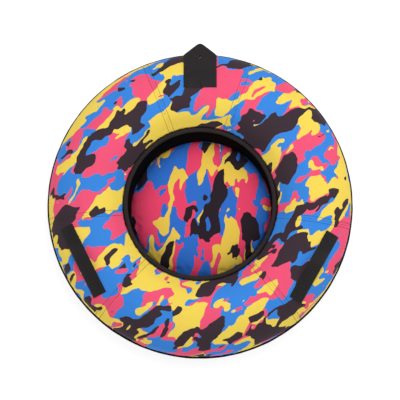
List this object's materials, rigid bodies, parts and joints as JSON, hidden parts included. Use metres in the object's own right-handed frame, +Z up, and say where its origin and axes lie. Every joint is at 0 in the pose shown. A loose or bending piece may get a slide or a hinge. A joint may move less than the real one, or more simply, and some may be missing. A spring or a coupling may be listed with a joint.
{
  "type": "snow tube",
  "caption": "Round inflatable snow tube in a zipped cloth cover, with a padded seat, hand straps and a folded tow strap.",
  "frame": {"origin": "on the ring's axis, at the flat underside", "axes": "+Z up, +Y towards the tow strap, +X to the right seen from above with the tow strap at the top"},
  "size_m": [0.9286, 0.9561, 0.2478],
  "materials": {
    "printed_cloth": "printed woven polyester in a four-colour camouflage, matt with a slight sheen",
    "black_cloth": "plain black woven polyester",
    "coated_base_cloth": "heavy coated black cloth, slightly shiny",
    "binding_tape": "black woven binding tape",
    "piping": "black edge piping",
    "foam": "closed-cell foam",
    "webbing": "black woven webbing",
    "zipper_tape": "black zipper tape with moulded teeth",
    "zipper_metal": "gunmetal",
    "tube_rubber": "black butyl rubber",
    "valve_brass": "turned brass",
    "valve_cap_plastic": "moulded black plastic"
  },
  "bodies": {
    "cover": {"base_floor": "coated_base_cloth", "base_side": "coated_base_cloth", "edge_piping": "piping", "hand_strap_left_end_a": "webbing", "hand_strap_left_end_b": "webbing", "hand_strap_right_end_a": "webbing", "hand_strap_right_end_b": "webbing", "inner_tube": "tube_rubber", "rear_band_lower": "coated_base_cloth", "rear_band_upper": "coated_base_cloth", "rim_binding": "binding_tape", "seat_cushion": "printed_cloth", "seat_foam_pad": "foam", "seat_wall": "black_cloth", "top_panel_front": "printed_cloth", "top_panel_left": "printed_cloth", "top_panel_left_strap": "printed_cloth", "top_panel_rear": "printed_cloth", "top_panel_right": "printed_cloth", "top_panel_right_strap": "printed_cloth", "tow_leg_left": "webbing", "tow_leg_right": "webbing", "valve_core": "valve_brass", "valve_patch": "tube_rubber", "valve_stem": "valve_brass", "zipper_stop_closed": "zipper_metal", "zipper_stop_open": "zipper_metal", "zipper_tape_lower": "zipper_tape", "zipper_tape_upper": "zipper_tape"},
    "tow_loop": {"tow_loop": "webbing"},
    "left_grip": {"hand_strap_left_grip": "webbing"},
    "right_grip": {"hand_strap_right_grip": "webbing"},
    "zipper_slider": {"zipper_slider": "zipper_metal"},
    "zipper_pull": {"zipper_pull": "zipper_metal"},
    "valve_cap": {"valve_cap": "valve_cap_plastic"},
    "valve_pin": {"valve_pin": "valve_brass"}
  },
  "joints": [
    {"name": "tow_loop_swing", "type": "hinge", "parent": "cover", "child": "tow_loop", "pos_m": [0, 0.4045, 0.21662], "axis": [1, 0, 0], "range_deg": [0, 100]},
    {"name": "left_grip_lift", "type": "slide", "parent": "cover", "child": "left_grip", "axis": [0, 0, 1], "range_m": [0, 0.01]},
    {"name": "right_grip_lift", "type": "slide", "parent": "cover", "child": "right_grip", "axis": [0, 0, 1], "range_m": [0, 0.01]},
    {"name": "zipper_travel", "type": "hinge", "parent": "cover", "child": "zipper_slider", "pos_m": [0, 0, 0.0528], "axis": [0, 0, 1], "range_deg": [-41, 0]},
    {"name": "zipper_pull_swing", "type": "hinge", "parent": "zipper_slider", "child": "zipper_pull", "pos_m": [0.15059, -0.42309, 0.05066], "axis": [0.9421, 0.3353, 0], "range_deg": [-120, 15]},
    {"name": "valve_cap_off", "type": "slide", "parent": "cover", "child": "valve_cap", "axis": [0.0131, 0.7478, -0.6638], "range_m": [0, 0.009]},
    {"name": "valve_pin_press", "type": "slide", "parent": "cover", "child": "valve_pin", "axis": [-0.0131, -0.7478, 0.6638], "range_m": [0, 0.001], "stiffness_N_per_m": 400}
  ]
}
